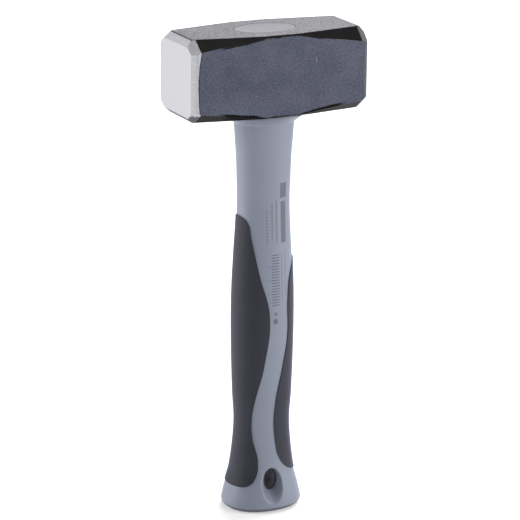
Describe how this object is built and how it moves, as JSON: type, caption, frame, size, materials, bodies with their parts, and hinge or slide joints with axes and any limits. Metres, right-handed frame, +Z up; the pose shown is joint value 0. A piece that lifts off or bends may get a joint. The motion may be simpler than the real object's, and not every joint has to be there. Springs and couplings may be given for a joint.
{
  "type": "lump hammer",
  "caption": "Short lump hammer: octagonal forged steel head potted with resin on an oval overmoulded fibreglass handle with soft grip panels, flared pommel and hanging hole.",
  "frame": {"origin": "centre of the pommel's flat base, with the hammer standing upright on it", "axes": "+Z up the handle to the head, +X along the head from one striking face to the other, -Y the front"},
  "size_m": [0.1, 0.043, 0.26],
  "materials": {
    "forged_steel": "satin, ground grey steel with black lacquer left in the long chamfers and bright striking ends",
    "potting_resin": "smooth cast epoxy, light grey",
    "fibreglass": "pultruded rod, straw coloured",
    "jacket_plastic": "fine satin moulded plastic, light blue-grey",
    "soft_grip": "matt soft elastomer, dark grey"
  },
  "bodies": {
    "root": {"hammer_head": "forged_steel", "eye_resin": "potting_resin", "fibreglass_core": "fibreglass", "handle_jacket": "jacket_plastic", "grip_panel_left": "soft_grip", "grip_panel_right": "soft_grip", "hang_hole_liner": "soft_grip"}
  },
  "joints": []
}
